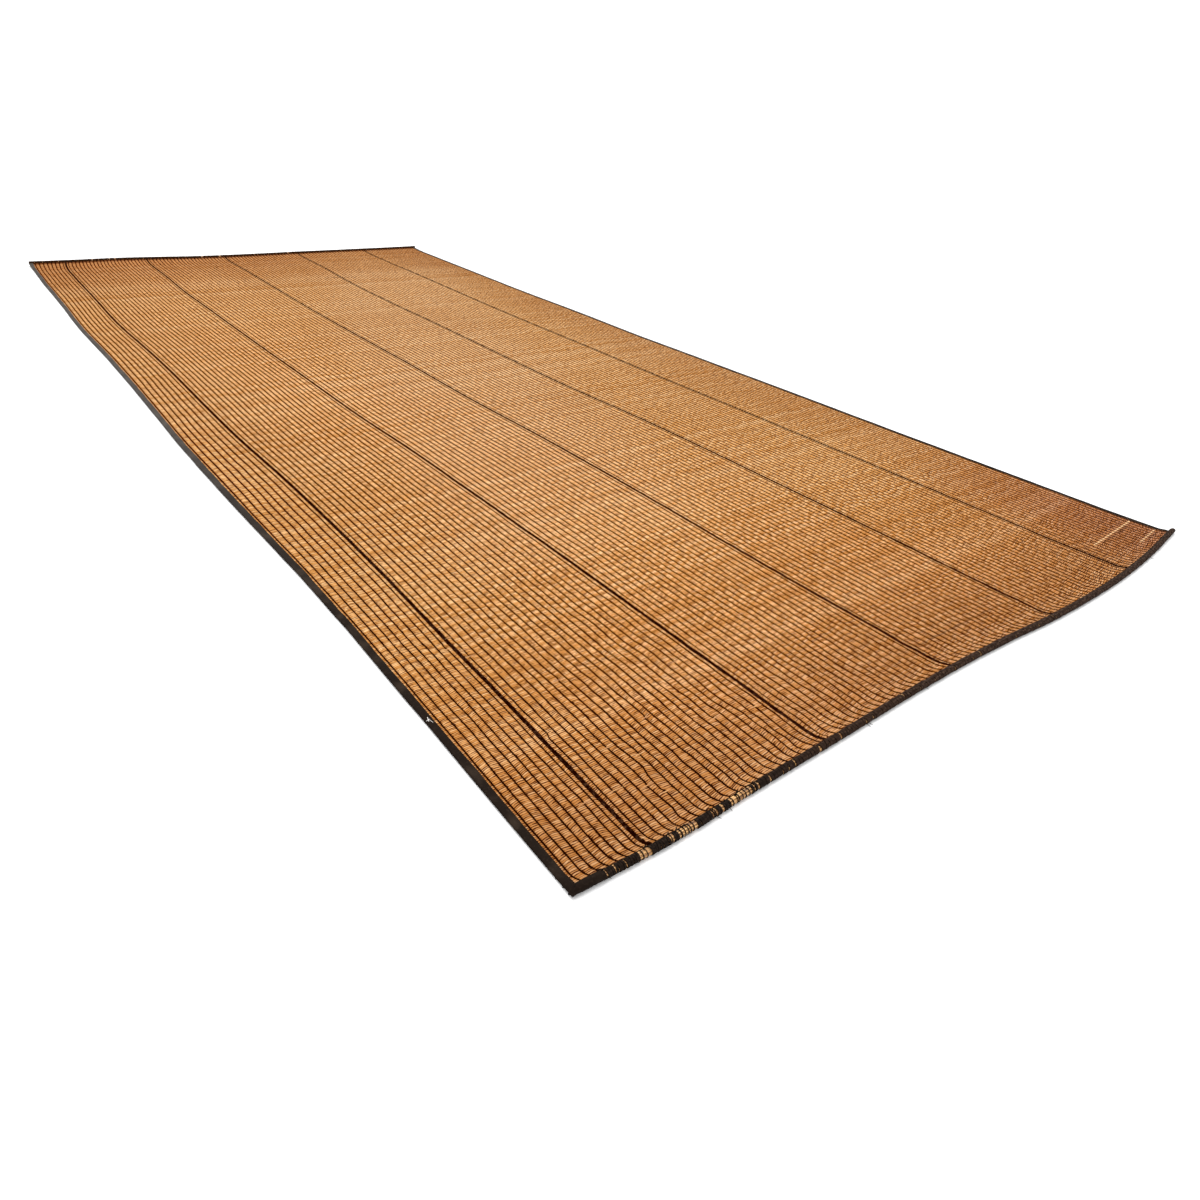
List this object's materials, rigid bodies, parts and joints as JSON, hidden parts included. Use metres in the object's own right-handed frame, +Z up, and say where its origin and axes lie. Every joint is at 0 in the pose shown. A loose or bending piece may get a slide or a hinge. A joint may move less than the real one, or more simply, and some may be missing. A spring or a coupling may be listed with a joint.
{
  "type": "tuareg mat",
  "caption": "Large rectangular floor mat of golden reeds held by dark leather thongs, with leather-bound long sides and leather-wound ends.",
  "frame": {"origin": "bottom centre of the whole mat, on the floor", "axes": "+Y along the length, away from the near short side; +X across the width, from the left long side to the right; +Z up"},
  "size_m": [2.8432, 6.1362, 0.0291],
  "materials": {
    "reeds": "dry golden reeds, worn satin",
    "end_reeds": "bare pale reeds, satin",
    "thong": "dark brown leather thong, worn",
    "binding": "dark brown folded leather, scuffed",
    "wound_leather": "dark brown leather wound round the ends, scuffed"
  },
  "bodies": {
    "root": {"reed_field": "reeds", "near_end_reeds": "end_reeds", "far_end_reeds": "end_reeds", "thick_row_1": "thong", "thick_row_2": "thong", "thick_row_3": "thong", "thick_row_4": "thong", "thick_row_5": "thong", "left_binding": "binding", "right_binding": "binding", "near_corner_patch": "wound_leather", "near_wrap_1": "wound_leather", "near_wrap_2": "wound_leather", "near_wrap_3": "wound_leather", "near_wrap_4": "wound_leather", "near_wrap_5": "wound_leather", "near_wrap_6": "wound_leather", "far_wrap_1": "wound_leather", "far_wrap_2": "wound_leather", "far_wrap_3": "wound_leather", "far_wrap_4": "wound_leather", "far_wrap_5": "wound_leather", "far_wrap_6": "wound_leather", "far_wrap_7": "wound_leather"}
  },
  "joints": []
}
